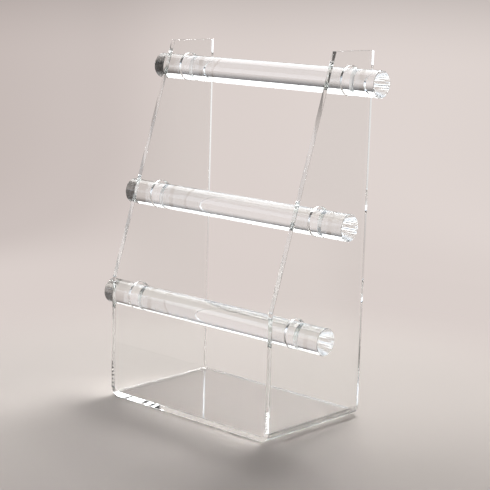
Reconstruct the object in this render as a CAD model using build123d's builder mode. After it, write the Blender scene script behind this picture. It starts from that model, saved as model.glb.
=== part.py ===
"""Clear acrylic bracelet stand: one sheet bent into a U, and three loose rods through its sides.

Millimetres. X runs along the rods, +Y towards the back, +Z up.
The origin is under the middle of the base, on the surface that the stand rests on.
"""
from build123d import *

import os

# Bent sheet
sheet_thickness = 5.0
frame_width = 210.0  # over the outer faces of the two side panels
frame_depth = 130.0  # front edge to back edge at the foot
frame_height = 350.0
panel_top_depth = 55.0  # flat top of a side panel, kept at the back
front_edge_height = 120.0  # upright lower part of the front edge, up to where it starts to slope
bend_inner_radius = 5.0
sheet_arris = 0.5  # flat taken off the polished edges of the sheet
hole_arris = 0.4  # flat taken off the rims of the rod holes

# Rods
rod_diameter = 25.0
rod_overhang = 35.0  # how far a rod stands out past each side panel
rod_arris = 0.8  # flat taken off the polished ends
rod_hole_clearance = 2.5  # hole diameter less rod diameter
rod_seat_gap = 0.2  # underside of a rod to the bottom of its hole

# Rod places: heights of the rod centres, and how far they lie behind the sloping front edge
bottom_rod_height = 96.0  # above the underside of the base
middle_rod_rise = 100.0  # above the bottom rod
top_rod_drop = 28.0  # below the top of the panels
bottom_rod_setback = 33.0
middle_rod_setback = 35.5
top_rod_setback = 32.0

front_y = -frame_depth / 2
back_y = frame_depth / 2
top_front_y = back_y - panel_top_depth
bend_outer_radius = bend_inner_radius + sheet_thickness
rod_radius = rod_diameter / 2
hole_radius = (rod_diameter + rod_hole_clearance) / 2
rod_length = frame_width + 2 * rod_overhang


def front_edge_y(height):
    """Where the front edge of a side panel lies at this height."""
    slope = (top_front_y - front_y) / (frame_height - front_edge_height)
    return front_y + slope * max(height - front_edge_height, 0.0)


def rod_centre(height, setback):
    """Centre of a rod in the side view, as (Y, Z)."""
    return front_edge_y(height) + setback, height


middle_rod_height = bottom_rod_height + middle_rod_rise
top_rod_height = frame_height - top_rod_drop
rod_centres = {
    "bottom_rod": rod_centre(bottom_rod_height, bottom_rod_setback),
    "middle_rod": rod_centre(middle_rod_height, middle_rod_setback),
    "top_rod": rod_centre(top_rod_height, top_rod_setback),
}
# A rod lies low in its hole, so the hole's centre is higher than the rod's
hole_rise = hole_radius - rod_radius - rod_seat_gap
hole_centres = [(y, z + hole_rise) for y, z in rod_centres.values()]

os.makedirs("parts", exist_ok=True)

# Bent sheet: a U in the front view, trimmed to the panels' outline in the side view
with BuildPart() as bent_frame:
    with BuildSketch(Plane.XZ.offset(-back_y)):
        with BuildLine():
            outer_u = FilletPolyline(
                (-frame_width / 2, frame_height),
                (-frame_width / 2, 0),
                (frame_width / 2, 0),
                (frame_width / 2, frame_height),
                radius=bend_outer_radius,
            )
            inner_half_width = frame_width / 2 - sheet_thickness
            inner_u = FilletPolyline(
                (-inner_half_width, frame_height),
                (-inner_half_width, sheet_thickness),
                (inner_half_width, sheet_thickness),
                (inner_half_width, frame_height),
                radius=bend_inner_radius,
            )
            Line(outer_u @ 0, inner_u @ 0)
            Line(outer_u @ 1, inner_u @ 1)
        make_face()
    extrude(amount=frame_depth)

    with BuildSketch(Plane.YZ):
        with BuildLine():
            Polyline(
                (front_y, 0),
                (back_y, 0),
                (back_y, frame_height),
                (top_front_y, frame_height),
                (front_y, front_edge_height),
                close=True,
            )
        make_face()
    extrude(amount=frame_width / 2, both=True, mode=Mode.INTERSECT)

    # The arris runs along every cut edge, not along the bends' seams or across the thickness at a corner
    sheet_edges = bent_frame.edges()
    bend_seams = sheet_edges.filter_by(Axis.Y).filter_by(lambda seam: seam.center().Z <= bend_outer_radius)
    corner_lines = sheet_edges.filter_by(Axis.X).filter_by(lambda line: line.length < 2 * sheet_thickness)
    cut_edges = sheet_edges.filter_by(lambda edge: edge not in bend_seams + corner_lines)
    chamfer(cut_edges, length=sheet_arris)

    with BuildSketch(Plane.YZ):
        with Locations(*hole_centres):
            Circle(hole_radius)
    extrude(amount=frame_width / 2, both=True, mode=Mode.SUBTRACT)
    rims = bent_frame.edges().filter_by(GeomType.CIRCLE)
    rims = rims.filter_by(lambda rim: abs(rim.radius - hole_radius) < hole_arris)
    chamfer(rims, length=hole_arris)

bent_frame.part.label = "bent_frame"
export_step(bent_frame.part, "parts/bent_frame.step")

# Rods: solid round bar, lying across the frame through both panels
for rod_name, centre in rod_centres.items():
    with BuildPart() as rod:
        with BuildSketch(Plane.YZ):
            with Locations(centre):
                Circle(rod_radius)
        extrude(amount=rod_length / 2, both=True)
        end_rims = rod.edges().filter_by(GeomType.CIRCLE)
        chamfer(end_rims, length=rod_arris)
    rod.part.label = rod_name
    export_step(rod.part, f"parts/{rod_name}.step")
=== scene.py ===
"""Clear acrylic bracelet stand: one bent sheet and three loose round rods, in a paper bowl.

Metres, in the part's own frame: X along the rods, +Y to the back, +Z up.
"""
import math

import bpy
from mathutils import Matrix, Vector


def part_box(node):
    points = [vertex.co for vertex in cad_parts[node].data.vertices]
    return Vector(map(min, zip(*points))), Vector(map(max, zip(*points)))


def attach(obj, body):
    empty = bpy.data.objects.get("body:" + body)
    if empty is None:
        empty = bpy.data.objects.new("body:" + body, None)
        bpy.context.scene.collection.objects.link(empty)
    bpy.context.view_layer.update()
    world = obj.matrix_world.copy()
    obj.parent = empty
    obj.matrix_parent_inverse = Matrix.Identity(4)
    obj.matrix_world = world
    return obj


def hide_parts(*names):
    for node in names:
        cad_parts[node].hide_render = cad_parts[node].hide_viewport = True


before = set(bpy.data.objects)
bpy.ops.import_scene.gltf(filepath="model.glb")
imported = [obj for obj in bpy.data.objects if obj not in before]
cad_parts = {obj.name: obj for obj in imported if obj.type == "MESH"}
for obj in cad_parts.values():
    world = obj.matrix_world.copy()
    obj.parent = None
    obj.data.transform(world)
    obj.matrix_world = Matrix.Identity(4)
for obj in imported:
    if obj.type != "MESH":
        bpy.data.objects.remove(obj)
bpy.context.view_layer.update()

MM = 0.001
QUARTER_TURN = math.pi / 2

# Bent sheet, with the sizes that its box does not give
SHEET = 5 * MM
BEND_RADIUS = 10 * MM  # outside of a bend
BEND_STEPS = 24
ROUND_PROFILE = 0.5  # a bevel that is an arc
TOP_DEPTH = 55 * MM  # flat top of a side panel, at the back
KINK_HEIGHT = 120 * MM  # where the front edge starts to slope back
ARRIS = 0.5 * MM  # rounding of the polished edges
ARRIS_STEPS = 3
ARRIS_FROM = math.radians(12)  # flatter edges than this are parts of a bend or a hole
TOUCH = 0.1 * MM  # nearer than this lies at the same place

# Rods and their holes
HOLE_CLEARANCE = 2.5 * MM  # hole diameter less rod diameter
SEAT_GAP = 0.2 * MM  # underside of a rod to the bottom of its hole
HOLE_SIDES = 128
ROD_SIDES = 192
ROD_ARRIS = 0.8 * MM
ROD_NAMES = ("bottom_rod", "middle_rod", "top_rod")

# Camera, at the photograph's viewing angle
CAMERA_PLACE = (0.9068, -0.9848, 0.4119)
CAMERA_HEADING = math.radians(42.31)
CAMERA_TILT = math.radians(-10.67)
CAMERA_ROLL = math.radians(1.70)
CAMERA_LENS = 104.06  # mm, on a sensor 36 mm wide

# Acrylic. A band is the part of a noise that its effect spans
ACRYLIC_IOR = 1.49
CLEAR_COLOUR = (0.985, 0.992, 0.988, 1)
BODY_COLOUR = (0.62, 0.85, 0.75, 1)  # tint of a long way through
BODY_DENSITY = 0.12
SMEAR_SCALE = 28
SMEAR_DETAIL = 4
SMEAR_BAND = (0.52, 0.72)
SMEAR_ROUGHNESS = 0.035
WAVE_SCALE = 14
WAVE_DETAIL = 1
WAVE_DEPTH = 0.03 * MM
CAST_STRETCH = (1, 1, 1)  # a cast sheet's marks run no way
DRAWN_STRETCH = (0.08, 1, 1)  # a drawn bar's marks run along it
BUFF_SCALE = 110  # buffing on cut edges, rod ends and hole walls
BUFF_DETAIL = 2
BUFF_BAND = (0.3, 0.7)
BUFF_SWING = (0.5, 1.5)  # from the best buffed spots to the worst, as shares of the roughness
BUFF_DEPTH = 0.003 * MM
EDGE_ROUGHNESS = 0.04
END_ROUGHNESS = 0.14
HOLE_ROUGHNESS = 0.3

# Which finish a face gets, by how far its normal points along an axis
FACING = 0.5
FULLY_FACING = 0.9

# Paper bowl
FLOOR_DROP = 0.4 * MM  # air under the base
BOWL_RADIUS = 0.9
BOWL_HEIGHT = 0.62
BOWL_CURVE = 0.35
BOWL_SIDES = 128
BOWL_CURVE_STEPS = 24
BOWL_LID_FROM = 0.9 * BOWL_HEIGHT
BOWL_FOOT_TO = 0.1 * BOWL_HEIGHT
GROUND_PLAN = (1, 1, 0)  # leaves the height out
LIT_REACH = (0.22, 0.5)  # lit by the lamps inside the first, pale beyond the second, with painted light and shade
SIDE_REACH = (0.62, 0.86)  # the same tone all round nearer than the first
SIDE_WAY = (0.67, 0.74, 0)  # from the bowl's left front to its right back
PAPER_COLOUR = (0.505, 0.466, 0.44)
PAPER_ROUGHNESS = 0.9
PAINTED_BOWL_TONES = (  # painted light and shade round the bowl: how far along SIDE_WAY, from -1 to 1, and the tone there
    (-0.8, (0.60, 0.53, 0.505)),
    (-0.4, (0.56, 0.49, 0.465)),
    (-0.17, (0.60, 0.53, 0.505)),
    (0.03, (0.71, 0.635, 0.605)),
    (0.35, (0.74, 0.665, 0.635)),
    (0.84, (0.70, 0.63, 0.60)),
)
VIEW_WAY = (-0.67, 0.74, 0)  # away from the camera
PAINTED_NEAR_SHADE = (-0.45, 0.05)  # along that way, painted shade: the floor grows paler from its near end to the stand
PAINTED_NEAR_SHADE_TONE = 0.66  # share of its tone at the near end, in that painted shade
PAINTED_BOWL_DUSK = (0.28, 0.60)  # heights between which the bowl darkens in painted shade
PAINTED_BOWL_TOP_TONE = 0.2  # share of its tone at the top, in that painted shade
FIBRE_SCALE = 900
FIBRE_DETAIL = 4
FIBRE_DEPTH = 0.05 * MM

# Painted reflections: bright and dark patches of the bowl that show only in reflections inside the
# acrylic, with soft rims. Each lies one way from the stand: turn is the cosine of the turn from that
# way, and reach the distance, where the patch starts and where it is full. After many reflections the
# share called deep is left of it.
PAINTED_BRIGHT_REFLECTION = {
    "way": (-0.67, -0.74, 0),
    "turn": (0.80, 0.95),
    "reach": (0.62, 0.86),
    "tone": (0.97, 0.96, 0.95, 1),
    "deep": 1.0,
}
PAINTED_LOW_DARK_REFLECTION = {
    "way": (0.50, 0.866, 0),
    "turn": (0.955, 0.987),
    "reach": (0.12, 0.24),
    "tone": (0.05, 0.048, 0.046, 1),
    "deep": 0.4,
}
PAINTED_DARK_REFLECTION = {
    "way": (0.67, 0.74, 0),
    "turn": (0.84, 0.955),
    "reach": (0.765, 0.825),
    "tone": (0.03, 0.029, 0.028, 1),
    "deep": 0.78,
}
MANY_REFLECTIONS = (2, 4)

# Lamps and room
OVERHEAD_PLACE = (-0.8, 0.9, 1.6)
OVERHEAD_AIM = (-0.2, 0.2, 0)
OVERHEAD_SIZE = (2.2, 2.0)
OVERHEAD_WATTS = 31
KEY_PLACE = (-0.48, 1.18, 1.78)
KEY_AIM = (0, 0, 0.1)
KEY_SIZE = (0.8, 0.8)
KEY_WATTS = 43
FRONT_PLACE = (-0.533, -0.597, 0.43)
FRONT_AIM = (0, 0, 0.2)
FRONT_SIZE = (0.32, 0.36)
FRONT_WATTS = 0.62
FRONT_COLOUR = (0.78, 0.87, 1.0)
WHITE = (1, 1, 1)
ROOM_COLOUR = (0.06, 0.06, 0.06, 1)

# Light paths
LIGHT_BOUNCES = 40
LIGHT_BLUR = 0  # more darkens the shadow of clear sheet


# Modelling helpers

def only(piece):
    """Makes one object the only selected and active one."""
    bpy.ops.object.select_all(action="DESELECT")
    piece.select_set(True)
    bpy.context.view_layer.objects.active = piece


def start(name):
    """Names the primitive that was just added and gives it back with its place in its mesh."""
    piece = bpy.context.active_object
    piece.name = name
    piece.data.name = name
    only(piece)
    bpy.ops.object.transform_apply(location=True, rotation=True, scale=True)
    return piece


def pick(piece, kind, test):
    """In edit mode, selects the faces or edges whose middle passes the test."""
    bpy.ops.mesh.select_mode(type=kind)
    bpy.ops.mesh.select_all(action="DESELECT")
    bpy.ops.object.mode_set(mode="OBJECT")
    mesh = piece.data
    if kind == "FACE":
        for face in mesh.polygons:
            face.select = test(face.center)
    elif kind == "EDGE":
        for edge in mesh.edges:
            a, b = (mesh.vertices[i].co for i in edge.vertices)
            edge.select = test((a + b) / 2)
    bpy.ops.object.mode_set(mode="EDIT")


def finish_edges(piece, width):
    """Rounds every sharp edge, then keeps flat faces flat and round ones smooth."""
    only(piece)
    bevel = piece.modifiers.new("arris", "BEVEL")
    bevel.width = width
    bevel.segments = ARRIS_STEPS
    bevel.limit_method = "ANGLE"
    bevel.angle_limit = ARRIS_FROM
    bevel.use_clamp_overlap = True
    bpy.ops.object.modifier_apply(modifier=bevel.name)
    bpy.ops.object.shade_smooth()
    flats = piece.modifiers.new("flats", "WEIGHTED_NORMAL")
    flats.keep_sharp = False
    bpy.ops.object.modifier_apply(modifier=flats.name)


# Pieces

def rod_axis(name):
    """Centre and radius of a rod, read from its box."""
    low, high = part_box(name)
    return (low + high) / 2, (high.z - low.z) / 2


def hole_axis(name):
    """Y and Z of the centre, and radius, of the two holes that a rod lies low in."""
    centre, radius = rod_axis(name)
    hole_radius = radius + HOLE_CLEARANCE / 2
    return centre.y, centre.z + hole_radius - radius - SEAT_GAP, hole_radius


def bent_sheet():
    """One sheet: a U in the front view, cut to the sloping outline, drilled for the rods."""
    low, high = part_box("bent_frame")
    depth = high.y - low.y
    width = high.x - low.x
    bpy.ops.object.select_all(action="DESELECT")
    bpy.ops.mesh.primitive_plane_add(size=1, location=(0, (low.y + high.y) / 2, low.z))
    bpy.context.active_object.scale = (width, depth, 1)
    sheet = start("bent_sheet")

    # Fold the two sides up, and round the bends
    bpy.ops.object.mode_set(mode="EDIT")
    side = width / 2 - TOUCH
    pick(sheet, "EDGE", lambda middle: abs(middle.x) > side)
    bpy.ops.mesh.extrude_region_move(TRANSFORM_OT_translate={"value": (0, 0, high.z - low.z)})
    pick(sheet, "EDGE", lambda middle: abs(middle.x) > side and middle.z < low.z + TOUCH)
    bpy.ops.mesh.bevel(
        offset=BEND_RADIUS,
        segments=BEND_STEPS,
        profile=ROUND_PROFILE,
        affect="EDGES",
    )

    # Cut the front edges to their slope
    bpy.ops.mesh.select_all(action="SELECT")
    top_front = Vector((0, high.y - TOP_DEPTH, high.z))
    kink = Vector((0, low.y, low.z + KINK_HEIGHT))
    slope = top_front - kink
    bpy.ops.mesh.bisect(plane_co=kink, plane_no=(0, -slope.z, slope.y), clear_outer=True)
    bpy.ops.mesh.select_all(action="SELECT")
    bpy.ops.mesh.normals_make_consistent(inside=False)
    bpy.ops.object.mode_set(mode="OBJECT")
    base = min(sheet.data.polygons, key=lambda face: face.center.z)
    if base.normal.z > 0:
        sheet.data.flip_normals()

    # Give it its thickness, inwards from the outer faces
    wall = sheet.modifiers.new("wall", "SOLIDIFY")
    wall.thickness = SHEET
    wall.offset = -1
    wall.use_even_offset = True
    bpy.ops.object.modifier_apply(modifier=wall.name)

    # Drill the holes
    for name in ROD_NAMES:
        hole_y, hole_z, hole_radius = hole_axis(name)
        bpy.ops.object.select_all(action="DESELECT")
        bpy.ops.mesh.primitive_cylinder_add(
            vertices=HOLE_SIDES,
            radius=hole_radius,
            depth=2 * width,
            location=(0, hole_y, hole_z),
            rotation=(0, QUARTER_TURN, 0),
        )
        drill = start("drill")
        only(sheet)
        cut = sheet.modifiers.new("hole", "BOOLEAN")
        cut.operation = "DIFFERENCE"
        cut.solver = "EXACT"
        cut.object = drill
        bpy.ops.object.modifier_apply(modifier=cut.name)
        bpy.data.objects.remove(drill)
    finish_edges(sheet, ARRIS)
    return sheet


def round_rod(name):
    """A solid round bar with polished ends."""
    low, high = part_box(name)
    centre, radius = rod_axis(name)
    bpy.ops.object.select_all(action="DESELECT")
    bpy.ops.mesh.primitive_cylinder_add(
        vertices=ROD_SIDES,
        radius=radius,
        depth=high.x - low.x,
        location=centre,
        rotation=(0, QUARTER_TURN, 0),
    )
    rod = start("clear_" + name)
    finish_edges(rod, ROD_ARRIS)
    return rod


# Materials

def node(material, kind, sockets=(), **settings):
    """Adds a node, with its settings and its plain input values."""
    made = material.node_tree.nodes.new(kind)
    for name, value in settings.items():
        setattr(made, name, value)
    for name, value in dict(sockets).items():
        made.inputs[name].default_value = value
    return made


def join(material, source, target):
    """Links an output to an input."""
    material.node_tree.links.new(source, target)


def place_of(material, stretch=CAST_STRETCH):
    """Object coordinates in metres, stretched for grain that runs one way."""
    where = node(material, "ShaderNodeTexCoord")
    grain = node(material, "ShaderNodeMapping", {"Scale": stretch})
    join(material, where.outputs["Object"], grain.inputs["Vector"])
    return grain.outputs["Vector"]


def noise(material, place, scale, detail):
    """A soft noise over a place, about 0.5 on average."""
    cloud = node(material, "ShaderNodeTexNoise", {"Scale": scale, "Detail": detail})
    join(material, place, cloud.inputs["Vector"])
    return cloud.outputs["Fac"]


def between(material, value, low, high, to_low, to_high):
    """Maps low..high of a value to to_low..to_high, eased."""
    span = {"From Min": low, "From Max": high, "To Min": to_low, "To Max": to_high}
    ease = node(material, "ShaderNodeMapRange", span, interpolation_type="SMOOTHSTEP")
    join(material, value, ease.inputs["Value"])
    return ease.outputs["Result"]


def times(material, *values):
    """The product of several values."""
    product = values[0]
    for value in values[1:]:
        step = node(material, "ShaderNodeMath", operation="MULTIPLY")
        join(material, product, step.inputs[0])
        join(material, value, step.inputs[1])
        product = step.outputs["Value"]
    return product


def along(material, place, way):
    """How far a place lies along a way."""
    dot = node(material, "ShaderNodeVectorMath", operation="DOT_PRODUCT")
    dot.inputs[1].default_value = way
    join(material, place, dot.inputs[0])
    return dot.outputs["Value"]


def blend(material, share, first, second):
    """Two shaders mixed, with this share of the second."""
    mix = node(material, "ShaderNodeMixShader")
    join(material, share, mix.inputs["Fac"])
    join(material, first, mix.inputs[1])
    join(material, second, mix.inputs[2])
    return mix.outputs["Shader"]


def relief(material, shader, height, depth):
    """Lets a height of this depth shape a shader's reflections."""
    bump = node(material, "ShaderNodeBump", {"Strength": 1.0, "Distance": depth})
    join(material, height, bump.inputs["Height"])
    join(material, bump.outputs["Normal"], shader.inputs["Normal"])


def acrylic(name):
    """Clear cast acrylic with a faint green body, and its shader."""
    material = bpy.data.materials.new(name)
    material.use_nodes = True
    shader = material.node_tree.nodes["Principled BSDF"]
    shader.inputs["Base Color"].default_value = CLEAR_COLOUR
    shader.inputs["Roughness"].default_value = 0.0
    shader.inputs["IOR"].default_value = ACRYLIC_IOR
    shader.inputs["Transmission Weight"].default_value = 1.0
    body = node(material, "ShaderNodeVolumeAbsorption", {"Color": BODY_COLOUR, "Density": BODY_DENSITY})
    join(material, body.outputs["Volume"], material.node_tree.nodes["Material Output"].inputs["Volume"])
    return material, shader


def clear_face(name, stretch):
    """Polished face: handling smears in its gloss, and the slow waviness of the sheet or the bar."""
    material, shader = acrylic(name)
    place = place_of(material, stretch)
    smear = noise(material, place, SMEAR_SCALE, SMEAR_DETAIL)
    gloss = between(material, smear, *SMEAR_BAND, 0, SMEAR_ROUGHNESS)
    join(material, gloss, shader.inputs["Roughness"])
    relief(material, shader, noise(material, place, WAVE_SCALE, WAVE_DETAIL), WAVE_DEPTH)
    return material


def cut_face(name, roughness):
    """Sawn or drilled, then buffed: a gloss that comes and goes, with the buffing's ripple in it."""
    material, shader = acrylic(name)
    buffing = noise(material, place_of(material), BUFF_SCALE, BUFF_DETAIL)
    best, worst = (share * roughness for share in BUFF_SWING)
    gloss = between(material, buffing, *BUFF_BAND, best, worst)
    join(material, gloss, shader.inputs["Roughness"])
    relief(material, shader, buffing, BUFF_DEPTH)
    return material


def paper(name):
    """Warm grey paper: lit by the lamps near the stand, pale further off, with painted shade and
    painted light in its tone, clear from outside.
    """
    material = bpy.data.materials.new(name)
    material.use_nodes = True
    place = node(material, "ShaderNodeTexCoord").outputs["Object"]
    flat = node(material, "ShaderNodeVectorMath", operation="MULTIPLY")
    flat.inputs[1].default_value = GROUND_PLAN
    join(material, place, flat.inputs[0])
    length = node(material, "ShaderNodeVectorMath", operation="LENGTH")
    join(material, flat.outputs["Vector"], length.inputs[0])
    reach = length.outputs["Value"]
    outwards = node(material, "ShaderNodeVectorMath", operation="NORMALIZE")
    join(material, flat.outputs["Vector"], outwards.inputs[0])
    way = outwards.outputs["Vector"]
    height = node(material, "ShaderNodeSeparateXYZ")
    join(material, place, height.inputs["Vector"])
    # Painted shade: darker towards the near end of the floor and towards the top of the bowl
    painted_shade = times(
        material,
        between(material, along(material, place, VIEW_WAY), *PAINTED_NEAR_SHADE, PAINTED_NEAR_SHADE_TONE, 1.0),
        between(material, height.outputs["Z"], *PAINTED_BOWL_DUSK, 1.0, PAINTED_BOWL_TOP_TONE),
    )

    # Lit by the lamps
    lit = material.node_tree.nodes["Principled BSDF"]
    lit.inputs["Roughness"].default_value = PAPER_ROUGHNESS
    lit.inputs["Specular IOR Level"].default_value = 0.0
    # The lit paper's colour carries that painted shade
    shade = node(material, "ShaderNodeVectorMath", operation="SCALE")
    shade.inputs[0].default_value = PAPER_COLOUR
    join(material, painted_shade, shade.inputs["Scale"])
    join(material, shade.outputs["Vector"], lit.inputs["Base Color"])
    relief(material, lit, noise(material, place_of(material), FIBRE_SCALE, FIBRE_DETAIL), FIBRE_DEPTH)

    # Pale, with painted light and shade in tones that change slowly round the bowl
    side = times(material, along(material, way, SIDE_WAY), between(material, reach, *SIDE_REACH, 0, 1))
    half = 0.5  # turns -1 to 1 into the ramp's 0 to 1
    part = node(material, "ShaderNodeMath", {1: half, 2: half}, operation="MULTIPLY_ADD")
    join(material, side, part.inputs[0])
    painted_tones = node(material, "ShaderNodeValToRGB")
    painted_tones.color_ramp.interpolation = "EASE"
    while len(painted_tones.color_ramp.elements) < len(PAINTED_BOWL_TONES):
        painted_tones.color_ramp.elements.new(half)
    for stop, (where_from, colour) in zip(painted_tones.color_ramp.elements, PAINTED_BOWL_TONES):
        stop.position = half * where_from + half
        stop.color = (*colour, 1)
    join(material, part.outputs["Value"], painted_tones.inputs["Fac"])
    glow = node(material, "ShaderNodeEmission")
    join(material, painted_tones.outputs["Color"], glow.inputs["Color"])
    join(material, painted_shade, glow.inputs["Strength"])
    rays = node(material, "ShaderNodeLightPath")
    seen = rays.outputs["Is Camera Ray"]
    for kind in ("Is Glossy Ray", "Is Transmission Ray"):
        either = node(material, "ShaderNodeMath", operation="MAXIMUM")
        join(material, seen, either.inputs[0])
        join(material, rays.outputs[kind], either.inputs[1])
        seen = either.outputs["Value"]
    far = times(material, seen, between(material, reach, *LIT_REACH, 0, 1))
    stage = blend(material, far, lit.outputs["BSDF"], glow.outputs["Emission"])

    # The painted reflections, over both
    reflections = rays.outputs["Glossy Depth"]
    inside = rays.outputs["Transmission Depth"]
    for painted_reflection in (PAINTED_BRIGHT_REFLECTION, PAINTED_LOW_DARK_REFLECTION, PAINTED_DARK_REFLECTION):
        share = times(
            material,
            between(material, inside, 0, 1, 0, 1),
            between(material, reflections, 0, 1, 0, 1),
            between(material, reflections, *MANY_REFLECTIONS, 1, painted_reflection["deep"]),
            between(material, along(material, way, painted_reflection["way"]), *painted_reflection["turn"], 0, 1),
            between(material, reach, *painted_reflection["reach"], 0, 1),
        )
        surface = node(material, "ShaderNodeEmission", {"Color": painted_reflection["tone"]})
        join(material, painted_shade, surface.inputs["Strength"])
        stage = blend(material, share, stage, surface.outputs["Emission"])

    # Clear from outside
    outside = node(material, "ShaderNodeNewGeometry").outputs["Backfacing"]
    clear = node(material, "ShaderNodeBsdfTransparent").outputs["BSDF"]
    stage = blend(material, outside, stage, clear)
    join(material, stage, material.node_tree.nodes["Material Output"].inputs["Surface"])
    return material


def dress(piece, finishes, finish_of=None):
    """Gives a piece its finishes, and each face the one that finish_of names by number."""
    piece.data.materials.clear()
    for finish in finishes:
        piece.data.materials.append(finish)
    if finish_of:
        for polygon in piece.data.polygons:
            polygon.material_index = finish_of(polygon)


# Pieces on their bodies

holes = [hole_axis(name) for name in ROD_NAMES]


def sheet_finish(polygon):
    """0 for the sheet's own faces, 1 for its cut edges, 2 for the drilled walls."""
    normal, middle = polygon.normal, polygon.center
    if abs(normal.x) < FULLY_FACING:
        for hole_y, hole_z, hole_radius in holes:
            if math.hypot(middle.y - hole_y, middle.z - hole_z) < hole_radius + 2 * ARRIS:
                return 2
    front_or_back = abs(normal.y) > FACING
    top = abs(normal.z) > FACING and middle.z > 2 * BEND_RADIUS
    return int(front_or_back or top)


def rod_finish(polygon):
    """0 for the round, 1 for the cut ends."""
    return int(abs(polygon.normal.x) > FACING)


sheet = bent_sheet()
sheet_finishes = (
    clear_face("clear_sheet", CAST_STRETCH),
    cut_face("polished_edge", EDGE_ROUGHNESS),
    cut_face("drilled_wall", HOLE_ROUGHNESS),
)
dress(sheet, sheet_finishes, sheet_finish)
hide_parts("bent_frame")
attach(sheet, "frame")

rod_finishes = (clear_face("clear_rod", DRAWN_STRETCH), cut_face("polished_end", END_ROUGHNESS))
for rod_name in ROD_NAMES:
    rod = round_rod(rod_name)
    dress(rod, rod_finishes, rod_finish)
    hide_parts(rod_name)
    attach(rod, rod_name)

# Stage: a paper bowl round the stand, seen only from its inside
bpy.ops.object.select_all(action="DESELECT")
bpy.ops.mesh.primitive_cylinder_add(
    vertices=BOWL_SIDES,
    radius=BOWL_RADIUS,
    depth=BOWL_HEIGHT,
    location=(0, 0, BOWL_HEIGHT / 2 - FLOOR_DROP),
)
bowl = start("paper_bowl")
bpy.ops.object.mode_set(mode="EDIT")
pick(bowl, "FACE", lambda middle: middle.z > BOWL_LID_FROM)
bpy.ops.mesh.delete(type="FACE")
pick(bowl, "EDGE", lambda middle: middle.z < BOWL_FOOT_TO)
bpy.ops.mesh.bevel(
    offset=BOWL_CURVE,
    segments=BOWL_CURVE_STEPS,
    profile=ROUND_PROFILE,
    affect="EDGES",
)
bpy.ops.mesh.select_all(action="SELECT")
bpy.ops.mesh.flip_normals()
bpy.ops.object.mode_set(mode="OBJECT")
bpy.ops.object.shade_smooth()
dress(bowl, [paper("bowl_paper")])
bowl.visible_shadow = False


# Lamps and room

def softbox(name, place, aim, size, watts, colour=WHITE):
    """A soft lamp turned to its aim, hidden from the camera."""
    lamp = bpy.data.lights.new(name, "AREA")
    lamp.color = colour
    lamp.shape = "RECTANGLE"
    lamp.size, lamp.size_y = size
    lamp.energy = watts
    box = bpy.data.objects.new(name, lamp)
    bpy.context.scene.collection.objects.link(box)
    box.location = place
    box.rotation_euler = (Vector(aim) - Vector(place)).to_track_quat("-Z", "Y").to_euler()
    box.visible_camera = False


softbox("overhead_softbox", OVERHEAD_PLACE, OVERHEAD_AIM, OVERHEAD_SIZE, OVERHEAD_WATTS)
softbox("key_softbox", KEY_PLACE, KEY_AIM, KEY_SIZE, KEY_WATTS)
softbox("front_softbox", FRONT_PLACE, FRONT_AIM, FRONT_SIZE, FRONT_WATTS, FRONT_COLOUR)

world = bpy.data.worlds.new("studio")
bpy.context.scene.world = world
world.use_nodes = True
room = world.node_tree.nodes["Background"]
room.inputs["Color"].default_value = ROOM_COLOUR
room.inputs["Strength"].default_value = 1.0

# Camera
camera_data = bpy.data.cameras.new("camera")
camera_data.lens = CAMERA_LENS
camera = bpy.data.objects.new("camera", camera_data)
bpy.context.scene.collection.objects.link(camera)
camera.matrix_world = (
    Matrix.Translation(CAMERA_PLACE)
    @ Matrix.Rotation(CAMERA_HEADING, 4, "Z")
    @ Matrix.Rotation(QUARTER_TURN + CAMERA_TILT, 4, "X")
    @ Matrix.Rotation(CAMERA_ROLL, 4, "Z")
)
bpy.context.scene.camera = camera
bpy.context.scene.view_settings.view_transform = "Standard"

# Light is passed along inside the acrylic by many reflections, and goes through it unblurred
light_paths = bpy.context.scene.cycles
light_paths.max_bounces = LIGHT_BOUNCES
light_paths.glossy_bounces = LIGHT_BOUNCES
light_paths.transmission_bounces = LIGHT_BOUNCES
light_paths.blur_glossy = LIGHT_BLUR
